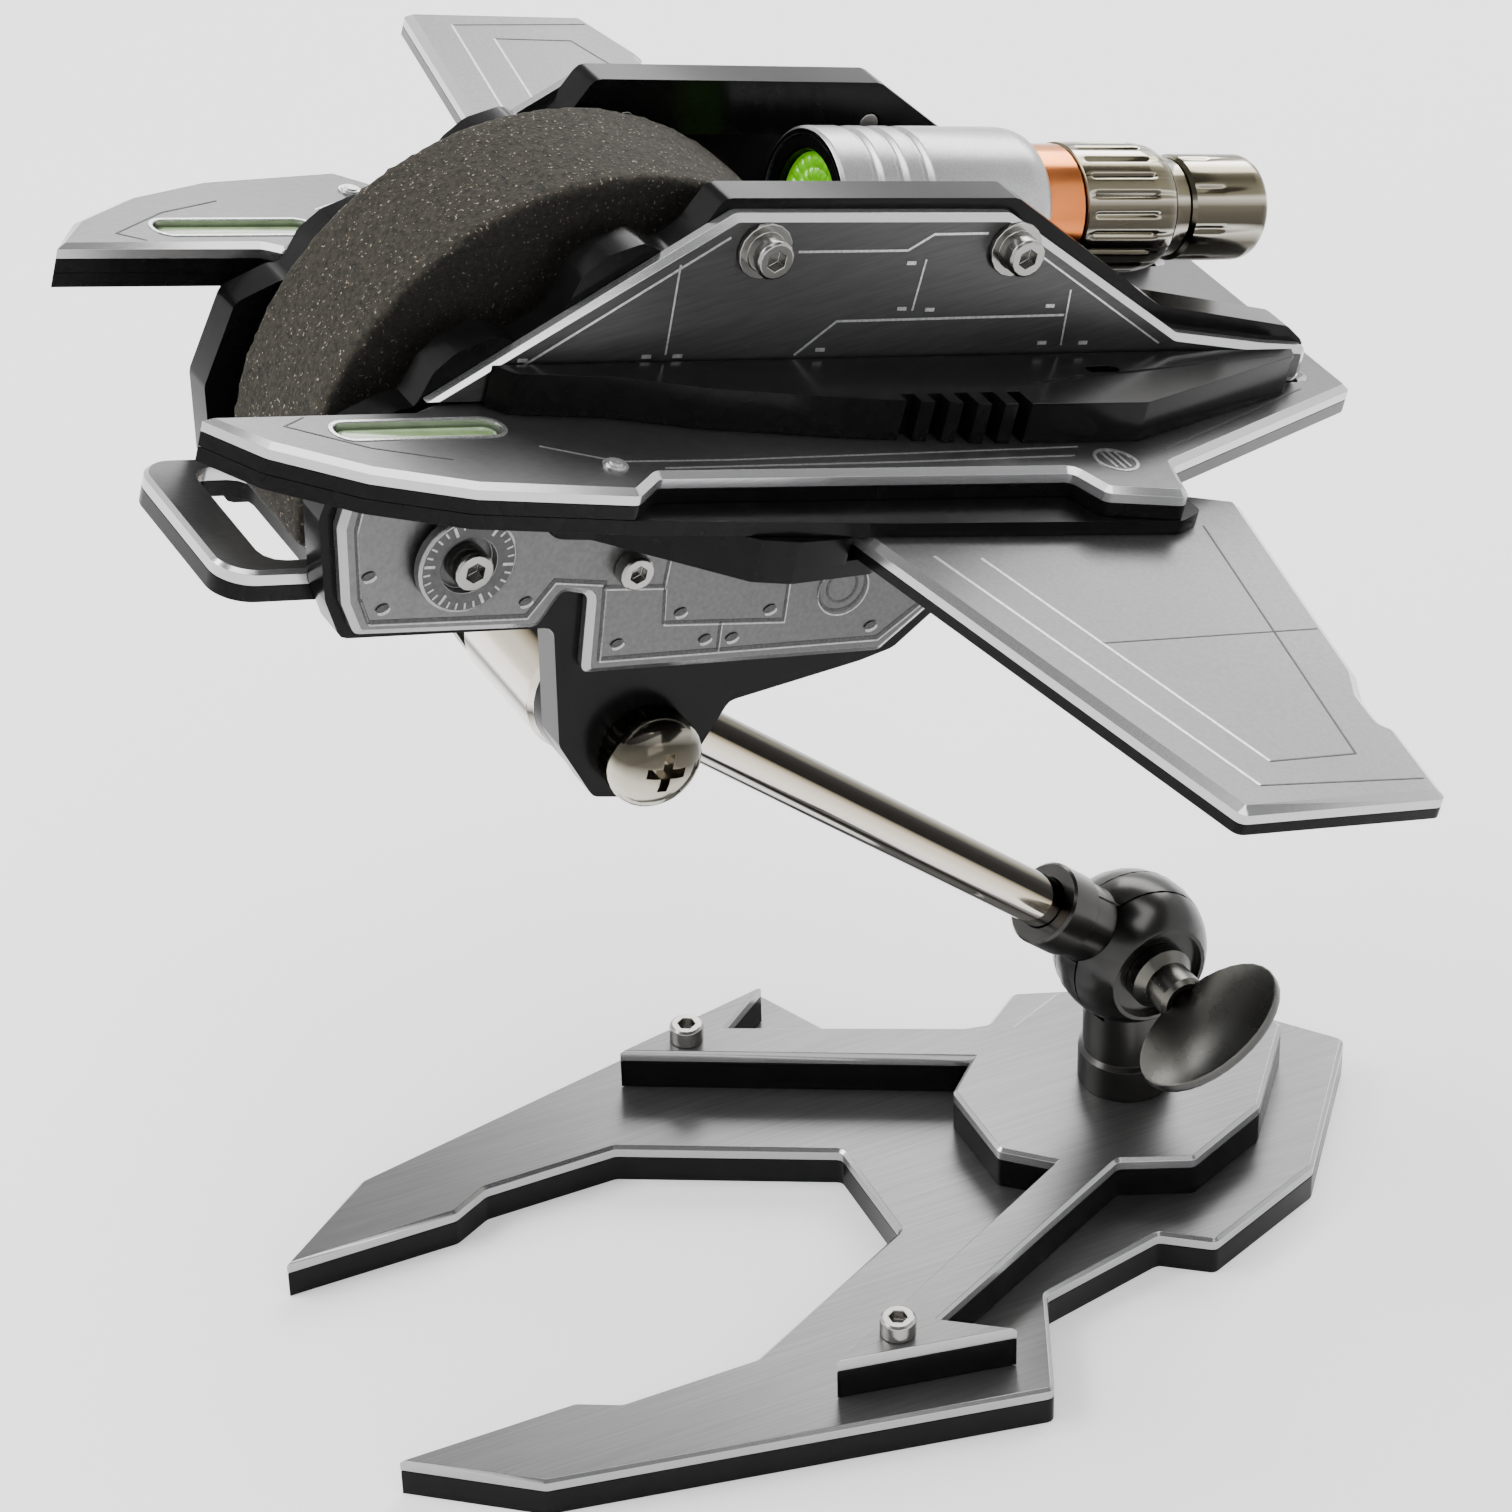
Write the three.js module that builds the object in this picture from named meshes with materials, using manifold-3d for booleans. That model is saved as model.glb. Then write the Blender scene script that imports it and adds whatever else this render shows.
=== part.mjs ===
// Desk display stand with a spacecraft-shaped cradle: a forked foot, a knuckle-jointed arm and a hull
// of laser-cut plates that holds a foam disc and a round connector. Millimetres, +Z up, nose towards -Y,
// origin on the underside of the foot, below the post.

import * as THREE from 'three';
import { mergeVertices } from 'three/addons/utils/BufferGeometryUtils.js';
import Module from 'manifold-3d';

const wasm = await Module();
wasm.setup();

// ---------------------------------------------------------------- driving dimensions

const GAP = 0.1;                       // air between stacked plates
const SILVER = 2.0;                    // brushed aluminium sheet
const FOOT_EDGE = { width: 0.6, depth: 0.5 };   // bright chamfers round the top of each silver sheet
const HULL_EDGE = { width: 1, depth: 0.7 };
const WING_EDGE = { width: 1.25, depth: 0.8 };

const FOOT_BLACK = 4.6;                // black acrylic under the foot's silver sheet
const FORK_BLACK = 5.2;                // black acrylic under the fork's silver sheet
const FORK_SCREW = { x: 38.6, y: -59 };

const YAW = 3.3;                       // degrees, the arm's turn on the foot
const KNUCKLE_HEIGHT = 39.6;           // height of the knuckle's cross axis
const ARM_RISE = 42.3;                 // degrees, the arm above the horizontal
const ARM_LENGTH = 124.7;              // knuckle axis to hull axis
const HULL_RISE = 15.7;                // degrees, nose up

const BALL_RADIUS = 12.1;
const CHEEK = 8.8;                     // half width over the knuckle's flat cheeks
const EYE_HALF = 2.8;                  // half width of the arm's eye between the cheeks
const ROD_RADIUS = 4;
const TEE_RADIUS = 9.8;
const PADDLE = { long: 12.6, wide: 8.3, thick: 2.2, tilt: 30, centre: 23.4 };

const SIDE_IN = 16;                    // hull side plates, inner and outer faces
const SIDE_OUT = 21.2;
const PANEL_IN = SIDE_OUT + GAP;       // silver panels on the side plates
const SKIRT = 23.8;                    // first x clear of the silver panels
const DECK_TOP = 53.8;                 // height of the deck above the hull axis
const LAYER = 1.9;                     // each black deck layer
const WING_BLACK = 1.4;                // black backing of the wings
const BARREL = { z: 70.1, radius: 11, front: 18.8 };
const FOAM = { y: -12.4, z: 38.4, radius: 41.6, half: 11.5, floor: 27.4 };

const SHARP = 1.75;                    // turns beyond this, in radians, stay sharp
const ROUND = 32;                      // facets round a turned part

// ---------------------------------------------------------------- materials

const finish = (color, roughness, metalness) => (
  new THREE.MeshStandardMaterial({ color, roughness, metalness })
);
const silver = () => finish(0xb9babb, 0.38, 0.9);
const acrylic = () => finish(0x0b0b0d, 0.3, 0.0);
const chrome = () => finish(0xc9c6be, 0.12, 1.0);
const gunmetal = () => finish(0x2b2c30, 0.25, 1.0);

// ---------------------------------------------------------------- solids

function toSolid(geometry) {
  const bare = geometry.clone();
  bare.deleteAttribute('normal');
  bare.deleteAttribute('uv');
  const merged = mergeVertices(bare, 1e-4);
  const position = merged.attributes.position;
  const index = merged.index.array;
  const corner = [new THREE.Vector3(), new THREE.Vector3(), new THREE.Vector3()];
  const faces = [];
  let volume = 0;
  for (let i = 0; i < index.length; i += 3) {
    const [a, b, c] = [index[i], index[i + 1], index[i + 2]];
    if (a === b || b === c || c === a) continue;
    [a, b, c].forEach((vertex, k) => corner[k].fromBufferAttribute(position, vertex));
    volume += corner[0].dot(corner[1].cross(corner[2]));
    faces.push([a, b, c]);
  }
  const turned = volume < 0 ? faces.map(([a, b, c]) => [a, c, b]) : faces;
  return new wasm.Manifold(new wasm.Mesh({
    numProp: 3,
    vertProperties: new Float32Array(position.array),
    triVerts: new Uint32Array(turned.flat()),
  }));
}

function toGeometry(solid) {
  const mesh = solid.getMesh();
  const geometry = new THREE.BufferGeometry();
  geometry.setAttribute('position', new THREE.BufferAttribute(new Float32Array(mesh.vertProperties), 3));
  geometry.setIndex(new THREE.BufferAttribute(new Uint32Array(mesh.triVerts), 1));
  geometry.computeVertexNormals();
  return geometry;
}

const mirrored = (half) => [...half, ...half.filter(([x]) => x !== 0).reverse().map(([x, y]) => [-x, y])];

// A closed outline with its blunt corners rounded to the given radius and its sharp points left sharp.
function outline(points, radius = 1.3) {
  const corners = points.map(([x, y]) => new THREE.Vector2(x, y));
  const rounded = corners.flatMap((corner, i) => {
    const before = corners[(i + corners.length - 1) % corners.length];
    const after = corners[(i + 1) % corners.length];
    const arriving = corner.clone().sub(before).normalize();
    const leaving = after.clone().sub(corner).normalize();
    const turn = Math.atan2(arriving.cross(leaving), arriving.dot(leaving));
    const room = 0.45 * Math.min(corner.distanceTo(before), corner.distanceTo(after));
    const reach = Math.min(radius * Math.tan(Math.abs(turn) / 2), room);
    if (reach < 0.1 || Math.abs(turn) > SHARP) return [corner];
    const bend = reach / Math.tan(turn / 2);
    const start = corner.clone().addScaledVector(arriving, -reach);
    const centre = start.clone().add(new THREE.Vector2(-arriving.y, arriving.x).multiplyScalar(bend));
    const steps = Math.ceil(Math.abs(turn) / 0.6);
    return Array.from({ length: steps + 1 }, (unused, k) => (
      start.clone().rotateAround(centre, (turn * k) / steps)
    ));
  });
  return new THREE.Shape(rounded);
}

function circle(x, y, radius) {
  return new THREE.Path().absarc(x, y, radius, 0, 2 * Math.PI, false);
}

function stadium(x, y, halfLength, radius) {
  const path = new THREE.Path();
  path.absarc(x, y + halfLength - radius, radius, 0, Math.PI, false);
  path.absarc(x, y - halfLength + radius, radius, Math.PI, 2 * Math.PI, false);
  path.closePath();
  return path;
}

function sheet(shape, thickness, holes = [], segments = 3) {
  shape.holes.push(...holes);
  const options = { depth: thickness, bevelEnabled: false, curveSegments: segments };
  return toSolid(new THREE.ExtrudeGeometry(shape, options));
}

// A sheet whose upper outer edges are chamfered; its lower edges and its holes stay square.
function edgedSheet(shape, thickness, edge = HULL_EDGE, holes = [], segments = 3) {
  const bevelled = toSolid(new THREE.ExtrudeGeometry(shape, {
    depth: thickness - edge.depth,
    bevelEnabled: true,
    bevelSegments: 1,
    bevelSize: edge.width,
    bevelThickness: edge.depth,
    bevelOffset: -edge.width,
    curveSegments: segments,
  })).trimByPlane([0, 0, 1], 0);
  return holes.reduce((rest, hole) => {
    const punch = sheet(new THREE.Shape(hole.getPoints(segments)), thickness + 2).translate([0, 0, -1]);
    return rest.subtract(punch);
  }, bevelled);
}

// Stands a sheet drawn in (y, z) upright, its thickness running from x = start towards +X.
function standing(solid, start) {
  const upright = new THREE.Matrix4().makeBasis(
    new THREE.Vector3(0, 1, 0), new THREE.Vector3(0, 0, 1), new THREE.Vector3(1, 0, 0));
  return solid.transform(upright.elements.slice()).translate([start, 0, 0]);
}

// A turned part: profile of [radius, height] pairs round +Z, +X or +Y.
function turned(profile, along = 'z', segments = ROUND) {
  const lathe = new THREE.LatheGeometry(profile.map(([r, h]) => new THREE.Vector2(r, h)), segments);
  if (along === 'z') lathe.rotateX(Math.PI / 2);
  if (along === 'x') lathe.rotateZ(-Math.PI / 2);
  return toSolid(lathe);
}

const rodAlong = (along, radius, start, end, segments = ROUND) =>
  turned([[0, start], [radius, start], [radius, end], [0, end]], along, segments);

function block(low, high) {
  const size = high.map((value, i) => value - low[i]);
  const box = new THREE.BoxGeometry(...size);
  box.translate(...low.map((value, i) => value + size[i] / 2));
  return toSolid(box);
}

// Cap screw along +X with its seat at x = 0 and a hexagon socket in the head.
function capScrew(headRadius, headHeight, shankRadius, shankLength) {
  const ease = 0.35;
  const body = turned([
    [0, -shankLength], [shankRadius, -shankLength], [shankRadius, 0], [headRadius, 0],
    [headRadius, headHeight - ease], [headRadius - ease, headHeight], [0, headHeight],
  ], 'x', 16);
  const socket = rodAlong('x', headRadius * 0.52, headHeight * 0.45, headHeight + 1, 6);
  return body.subtract(socket);
}

// ---------------------------------------------------------------- foot

const footPlan = mirrored([
  [0, 40.3], [25.4, 19.8], [34.3, -2.4], [28.9, -9.6], [33.5, -31.4], [52.7, -40],
  [37.6, -115.8], [24, -133.4], [23.8, -105.3], [27.1, -99], [27.1, -76.9], [10.5, -45],
]);

const forkPlan = mirrored([
  [0, 28.4], [16.4, 15], [23.1, -0.3], [18.3, -11.2], [38.5, -52], [45.6, -42.7],
  [40.4, -70], [14.2, -20], [7.9, -26.7],
]);

const footTop = FOOT_BLACK + GAP + SILVER;
const forkTop = footTop + GAP + FORK_BLACK + GAP + SILVER;
const POST_SCREW = { head: 4.4, headHeight: 2.6, shank: 2, top: 26 };

function forkScrewHoles(radius) {
  return [1, -1].map((side) => circle(side * FORK_SCREW.x, FORK_SCREW.y, radius));
}

function makeFoot(group) {
  const screwHole = 1.8;
  const black = sheet(outline(footPlan), FOOT_BLACK, forkScrewHoles(screwHole), 6);
  add(group, 'base_plate_black', black, acrylic());

  const face = edgedSheet(outline(footPlan), SILVER, FOOT_EDGE, forkScrewHoles(screwHole), 6);
  add(group, 'base_plate_silver', face.translate([0, 0, FOOT_BLACK + GAP]), silver());

  const forkBase = footTop + GAP;
  const pocket = rodAlong('z', POST_SCREW.head + 0.3, -1, POST_SCREW.headHeight + 0.3, 24);
  const riser = sheet(outline(forkPlan), FORK_BLACK, [...forkScrewHoles(screwHole), circle(0, 0, 2.3)], 6);
  add(group, 'fork_plate_black', riser.subtract(pocket).translate([0, 0, forkBase]), acrylic());

  const faceHoles = [...forkScrewHoles(screwHole), circle(0, 0, 2.3)];
  const forkFace = edgedSheet(outline(forkPlan), SILVER, FOOT_EDGE, faceHoles, 6);
  add(group, 'fork_plate_silver', forkFace.translate([0, 0, forkTop - SILVER]), silver());

  for (const [name, side] of [['left', 1], ['right', -1]]) {
    const screw = capScrew(2.75, 3, 1.5, 12).rotate([0, -90, 0]);
    const seat = [side * FORK_SCREW.x, FORK_SCREW.y, forkTop + GAP];
    add(group, `fork_screw_${name}`, screw.translate(seat), chrome());
  }

  const { head, headHeight, shank, top } = POST_SCREW;
  const start = footTop + 2 * GAP;
  const screw = turned([
    [0, start], [head, start], [head, start + headHeight], [shank, start + headHeight],
    [shank, top], [0, top],
  ], 'z', 24);
  add(group, 'post_screw', screw, chrome());
}

// ---------------------------------------------------------------- knuckle (local origin on its cross axis)

function makeKnuckle(group) {
  const below = forkTop + GAP - KNUCKLE_HEIGHT;
  const collar = 6.5;
  const post = turned([
    [0, below], [7.7, below], [7.7, below + collar - 0.7], [7, below + collar], [7, -6], [0, -6],
  ]);
  const ball = toSolid(new THREE.SphereGeometry(BALL_RADIUS, ROUND, 16));
  const flats = block([-CHEEK, -20, below - 1], [CHEEK, 20, 20]);
  const throat = rodAlong('x', BALL_RADIUS + 0.3, -EYE_HALF - 0.3, EYE_HALF + 0.3);
  const recess = rodAlong('x', 7.6, CHEEK - 1.2, CHEEK + 1);
  const boltHole = rodAlong('x', 2.3, -20, 20, 24);
  const postBore = rodAlong('z', 2.3, below - 1, POST_SCREW.top + 0.6 - KNUCKLE_HEIGHT, 24);
  const knuckle = post.add(ball).intersect(flats)
    .subtract(throat).subtract(recess).subtract(recess.mirror([1, 0, 0]))
    .subtract(boltHole).subtract(postBore);
  add(group, 'post_knuckle', knuckle, gunmetal());

  const boltSeat = CHEEK - 1.2 + GAP;
  const bolt = turned([
    [0, -boltSeat - 2.8], [3.9, -boltSeat - 2.8], [3.9, -boltSeat], [2, -boltSeat],
    [2, 14.6], [1.6, 15.2], [0, 15.2],
  ], 'x', 24);
  const hexHead = rodAlong('x', 3.9, -boltSeat - 4, -boltSeat + 0.01, 6);
  const shankZone = rodAlong('x', 2.2, -boltSeat - 0.01, 20, 24);
  add(group, 'clamp_bolt', bolt.intersect(hexHead.add(shankZone)), chrome());
}

function makeWingNut(group) {
  const seat = CHEEK - 1.2 + GAP;
  const hub = turned([[2.35, seat], [5.2, seat], [5.2, seat + 2], [3.9, seat + 3.4], [3.9, 15.4], [3.3, 16.2],
    [2.35, 16.2], [2.35, seat]], 'x', 32);
  const oval = new THREE.Shape().absellipse(0, 0, PADDLE.wide, PADDLE.long, 0, 2 * Math.PI);
  const plate = toSolid(new THREE.ExtrudeGeometry(oval, {
    depth: PADDLE.thick - 1, bevelEnabled: true, bevelSize: 0.5, bevelThickness: 0.5, bevelSegments: 2,
    bevelOffset: -0.5, curveSegments: 16,
  })).translate([PADDLE.centre, 0, 0.5 - PADDLE.thick / 2]);
  const boltRoom = rodAlong('x', 2.35, 0, 15.6, 24);
  add(group, 'wing_nut', hub.add(plate).subtract(boltRoom).rotate([PADDLE.tilt, 0, 0]), gunmetal());
}

// ---------------------------------------------------------------- arm (local -Y runs up the rod)

function makeArm(group) {
  const mouth = -21.4;
  const boltHole = rodAlong('x', 2.35, -20, 20, 24);
  const eye = toSolid(new THREE.SphereGeometry(BALL_RADIUS, ROUND, 16))
    .intersect(block([-EYE_HALF, -20, -20], [EYE_HALF, 20, 20]));
  const neck = block([-EYE_HALF, -16, -5.6], [EYE_HALF, 0, 5.6]);
  const sleeve = turned([
    [0, mouth], [6.2, mouth], [6.6, mouth + 0.4], [6.6, mouth + 5.6], [6.1, mouth + 6.2], [6.1, -8], [0, -8],
  ], 'y');
  const clearance = toSolid(new THREE.SphereGeometry(BALL_RADIUS + 0.4, ROUND, 16));
  const bore = rodAlong('y', ROD_RADIUS + 0.2, mouth - 1, -13.4);
  const socket = sleeve.subtract(clearance).add(neck).add(eye).subtract(boltHole).subtract(bore);
  add(group, 'arm_socket', socket, gunmetal());

  const rodEnd = -ARM_LENGTH + 6.4;
  add(group, 'arm_rod', rodAlong('y', ROD_RADIUS, rodEnd, -13.6), chrome());

  const axis = [0, -ARM_LENGTH, 0];
  const ease = 0.8;
  const tee = turned([
    [3.4, -15.6], [TEE_RADIUS - ease, -15.6], [TEE_RADIUS, -15.6 + ease], [TEE_RADIUS, 6 - ease],
    [TEE_RADIUS - ease, 6], [3.4, 6], [3.4, -15.6],
  ], 'x').translate(axis).subtract(rodAlong('y', ROD_RADIUS + 0.3, rodEnd - 0.4, 0));
  add(group, 'arm_tee', tee, chrome());

  const spacer = turned([[3.4, 6.2], [9.2, 6.2], [9.2, 15.6], [3.4, 15.6], [3.4, 6.2]], 'x');
  add(group, 'tee_spacer', spacer.translate(axis), acrylic());
}

// ---------------------------------------------------------------- hull (local origin on its tilt axis)

const DIAL = { y: -35.7, z: 32.2 };
const HULL_SCREW = { y: -9.9, z: 29.5 };
const UPRIGHT_SCREWS = [['front', -1.2, 75.2], ['rear', 37.4, 75.2]];

const sideOutline = () => outline([
    [-13.1, 1], [-18.1, 19.5], [-49.4, 19.5], [-52.6, 25.2], [-55.8, 37], [-53.6, 49.2], [-47.6, 52.4],
    [-45.5, 52.6], [-43.8, 57.5], [-41, 60.3], [-36, 62.5], [-32, 61.1], [-27.5, 64.1], [-25.5, 70.5],
    [-22.5, 73.4], [-17.5, 75.2], [-13.5, 73.5], [-10, 76.4], [-7.2, 81.4], [37.7, 81.4], [65.2, 65.4],
    [88.4, 61.9], [91.9, 59.4], [91.9, 48.4], [62, 41], [36.5, 13.5], [31.6, 11.7], [12, 6.5], [8.2, -3],
    [1, -7.9], [-6, -7.4],
  ], 1.8);

const hullPanelOutline = () => outline([
  [-52.6, 47.2], [-53.8, 36.6], [-51, 25.5], [-48.3, 20.9], [-21.6, 20.6], [-19, 25.9], [-15, 25.2],
  [-13.3, 13.2], [33, 14.1], [39, 20.2], [60, 41], [61, 47.2],
]);

const uprightPanelOutline = () => outline([
  [-44.7, 54], [-6.1, 80], [36, 79.9], [68.4, 61.9], [84, 60], [91.5, 59.5], [91.5, 54],
]);

function makeSides(group, name, side) {
  const place = (solid) => (side < 0 ? solid.mirror([1, 0, 0]) : solid);
  const through = (radius, y, z) => circle(y, z, radius);
  const panelHoles = UPRIGHT_SCREWS.map(([, y, z]) => through(1.75, y, z));
  const hullHoles = [DIAL, HULL_SCREW].map(({ y, z }) => through(1.75, y, z));

  const plate = sheet(sideOutline(), SIDE_OUT - SIDE_IN, [
    through(3.3, 0, 0), through(2.2, FOAM.y, FOAM.z), ...panelHoles, ...hullHoles,
  ], 5);
  add(group, `side_plate_${name}`, place(standing(plate, SIDE_IN)), acrylic());

  const hullPanel = edgedSheet(hullPanelOutline(), SILVER, HULL_EDGE, hullHoles, 5);
  add(group, `hull_panel_${name}`, place(standing(hullPanel, PANEL_IN)), silver());

  const panel = edgedSheet(uprightPanelOutline(), SILVER, HULL_EDGE, panelHoles, 5);
  add(group, `upright_panel_${name}`, place(standing(panel, PANEL_IN)), silver());

  const panelOut = PANEL_IN + SILVER;
  for (const [where, y, z] of UPRIGHT_SCREWS) {
    const washer = rodAlong('x', 3.9, 0, 0.7, 16);
    const screw = capScrew(2.75, 3, 1.5, 8).translate([0.65, 0, 0]).add(washer);
    add(group, `upright_screw_${where}_${name}`, place(screw.translate([panelOut + GAP, y, z])), chrome());
  }

  const dial = turned([
    [1.75, 0.5], [3.2, 0.5], [3.2, 0], [5.4, 0], [5.4, 0.6], [7, 0.9],
    [7, 2.3], [6.6, 2.6], [4, 2.6], [4, 1.2],
    [1.75, 1.2], [1.75, 0.5],
  ], 'x', ROUND).translate([panelOut + GAP, DIAL.y, DIAL.z]);
  add(group, `dial_washer_${name}`, place(dial), silver());

  const dialSeat = panelOut + 2 * GAP + 1.2;
  const dialScrew = capScrew(2.75, 3.4, 1.5, 9).translate([dialSeat, DIAL.y, DIAL.z]);
  add(group, `dial_screw_${name}`, place(dialScrew), chrome());

  const hullScrew = capScrew(2.5, 2.4, 1.5, 7).translate([panelOut + GAP, HULL_SCREW.y, HULL_SCREW.z]);
  add(group, `hull_screw_${name}`, place(hullScrew), chrome());
}

function makePivotScrew(group, name, side) {
  const place = (solid) => (side < 0 ? solid.mirror([1, 0, 0]) : solid);
  const collarIn = SIDE_OUT + GAP;
  const collarOut = collarIn + 2.7;
  const teeth = 30;
  const rim = new THREE.Shape(Array.from({ length: 2 * teeth }, (unused, i) => {
    const radius = i % 2 ? 6.5 : 6.9;
    const angle = (i * Math.PI) / teeth;
    return new THREE.Vector2(radius * Math.cos(angle), radius * Math.sin(angle));
  }));
  const collar = sheet(rim, collarOut - collarIn, [circle(0, 0, 3.3)], 6);
  add(group, `pivot_collar_${name}`, place(standing(collar, collarIn)), chrome());

  const seat = collarOut + GAP;
  const dome = [
    [7, seat], [7, seat + 0.7], [6.6, seat + 1.8], [5.6, seat + 2.9], [3.9, seat + 3.8], [2, seat + 4.3],
  ];
  const screw = turned([[0, 2], [3, 2], [3, seat], ...dome, [0, seat + 4.4]], 'x', 32);
  const arm = (y, z) => block([seat + 2.4, -y, -z], [seat + 6, y, z]);
  const cross = arm(2.9, 0.75).add(arm(0.75, 2.9));
  add(group, `pivot_screw_${name}`, place(screw.subtract(cross)), chrome());
}

const noseHalf = [
  [53.1, 53.5], [51.1, 41.6], [45.4, 39.6], [43, -21.5], [47.3, -26.4], [44.2, -47.5], [39.3, -60],
  [32, -70.5], [24.2, -76],
];
const tailHalf = [[24.1, 100.3], [44.7, 56.2]];
const slotHalf = [[23.9, -47], [21.5, -43], [21.6, 93.6], [15.6, 93.2], [15.8, 31]];
const SLOT = { x: 29.2, y: -48.9, half: 11.6, radius: 2.1 };

const deckPlan = mirrored([...tailHalf, ...noseHalf, ...slotHalf]);
const lowerPlan = [
  [21.6, -43], [24, -47.5], [24.2, -76], [32, -70.5], [39.3, -60], [44.2, -47.5], [47.3, -26.4], [50.6, 10],
  [53.1, 53.5], [50.6, 58], [21.6, 58],
];

function makeDeck(group) {
  const slots = () => [1, -1].map((side) => stadium(side * SLOT.x, SLOT.y, SLOT.half, SLOT.radius));
  const face = edgedSheet(outline(deckPlan), SILVER, HULL_EDGE, slots(), 6);
  add(group, 'deck_silver', face.translate([0, 0, DECK_TOP - SILVER]), silver());

  const upperTop = DECK_TOP - SILVER - GAP;
  const upper = sheet(outline(deckPlan), LAYER);
  add(group, 'deck_black_upper', upper.translate([0, 0, upperTop - LAYER]), acrylic());

  const lowerTop = upperTop - LAYER - GAP;
  const lower = sheet(outline(lowerPlan), LAYER + 0.1).translate([0, 0, lowerTop - LAYER - 0.1]);
  add(group, 'deck_black_lower_left', lower, acrylic());
  add(group, 'deck_black_lower_right', lower.mirror([1, 0, 0]), acrylic());

  for (const [name, side] of [['left', 1], ['right', -1]]) {
    const path = stadium(side * SLOT.x, SLOT.y, SLOT.half - 0.3, SLOT.radius - 0.3);
    const shape = new THREE.Shape(path.getPoints(6));
    const insert = sheet(shape, SILVER - 1.1).translate([0, 0, upperTop + GAP]);
    add(group, `slot_insert_${name}`, insert, finish(0x7f9a5c, 0.35, 0));
  }
  return lowerTop - LAYER - 0.1;
}

const wingPlan = [
  [SKIRT, 1.2], [119.4, 19.6], [119.2, 50.5], [103.5, 53.9], [102.1, 52.6], [96, 53.9], [90, 57.1],
  [44, 69.2], [41.5, 61], [SKIRT, 58],
];
const keelPlan = [
  [SKIRT, -31], [36.8, -30.6], [37.3, -25.7], [49.8, -9], [50.8, -3.7], [49.2, 9.2], [42, 20], [SKIRT, 24],
];
const keelStepPlan = [
  [SKIRT, -31], [36.8, -30.6], [37.3, -25.7], [49.8, -9], [50.8, -3.7], [50.4, 5], [SKIRT, 0.2],
];
const enginePlan = [
  [SKIRT, -37.3], [26.2, -35], [27.8, -21.5], [31.5, -9.8], [35, 9], [37.9, 30], [38.5, 54.3], [26, 87],
  [SKIRT, 88],
];

function makeFlank(group, name, side, deckUnderside) {
  const place = (solid) => (side < 0 ? solid.mirror([1, 0, 0]) : solid);
  const wingTop = deckUnderside - GAP;
  const face = edgedSheet(outline(wingPlan), SILVER, WING_EDGE).translate([0, 0, wingTop - SILVER]);
  add(group, `wing_silver_${name}`, place(face), silver());

  const blackTop = wingTop - SILVER - GAP;
  const backing = sheet(outline(wingPlan), WING_BLACK).translate([0, 0, blackTop - WING_BLACK]);
  add(group, `wing_black_${name}`, place(backing), acrylic());

  const keelTop = blackTop - WING_BLACK - GAP;
  const keel = sheet(outline(keelPlan), 2.4).translate([0, 0, keelTop - 2.4]);
  const step = sheet(outline(keelStepPlan), wingTop - keelTop + 0.2).translate([0, 0, keelTop - 0.2]);
  add(group, `keel_plate_${name}`, place(keel.add(step)), acrylic());

  const height = 5.8;
  const vents = Array.from({ length: 5 }, (unused, i) => 17.4 + 4.1 * i)
    .map((start) => block([34.4, start, -1], [45, start + 2.1, height + 1]));
  const portShape = new THREE.Shape(stadium(28.6, 53, 2.6, 0.9).getPoints(6));
  const port = sheet(portShape, height + 2).translate([0, 0, -1]);
  const blank = sheet(outline(enginePlan), height);
  const cover = [...vents, port].reduce((rest, cut) => rest.subtract(cut), blank);
  add(group, `engine_cover_${name}`, place(cover.translate([0, 0, DECK_TOP + GAP])), acrylic());
}

// ---------------------------------------------------------------- what the hull carries

function makeBumper(group) {
  const halfWidth = SIDE_IN - 0.3;
  const [front, back] = [-64.4, 20];
  const radius = 5;
  const plan = () => {
    const shape = new THREE.Shape();
    shape.moveTo(-halfWidth, back);
    shape.lineTo(-halfWidth, front + radius);
    shape.absarc(-halfWidth + radius, front + radius, radius, Math.PI, 1.5 * Math.PI, false);
    shape.absarc(halfWidth - radius, front + radius, radius, 1.5 * Math.PI, 2 * Math.PI, false);
    shape.lineTo(halfWidth, back);
    shape.closePath();
    return shape;
  };
  const grip = [[-12.8, -57.6], [12.8, -57.6], [12.8, -48.6], [-12.8, -48.6]];
  const hole = () => new THREE.Path(outline(grip, 3).getPoints(3));
  const top = 26.7;
  const face = edgedSheet(plan(), SILVER, FOOT_EDGE, [hole()], 6).translate([0, 0, top - SILVER]);
  add(group, 'bumper_silver', face, silver());
  const backing = sheet(plan(), 2.3, [hole()], 6).translate([0, 0, top - SILVER - GAP - 2.3]);
  add(group, 'bumper_black', backing, acrylic());
}

function makeFoam(group) {
  const disc = rodAlong('x', FOAM.radius, -FOAM.half, FOAM.half, 56).translate([0, FOAM.y, FOAM.z]);
  const floor = block([-20, -80, -40], [20, 60, FOAM.floor]);
  const axleHole = rodAlong('x', 2.4, -20, 20, 24).translate([0, FOAM.y, FOAM.z]);
  const barrelRoom = rodAlong('y', BARREL.radius + 0.6, BARREL.front - 0.6, 60).translate([0, 0, BARREL.z]);
  const foam = disc.subtract(floor).subtract(axleHole).subtract(barrelRoom);
  add(group, 'foam_disc', foam, finish(0x4d473d, 1, 0));

  const axle = rodAlong('x', 2, -SIDE_OUT, SIDE_OUT, 24).translate([0, FOAM.y, FOAM.z]);
  add(group, 'foam_axle', axle, chrome());
}

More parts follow.
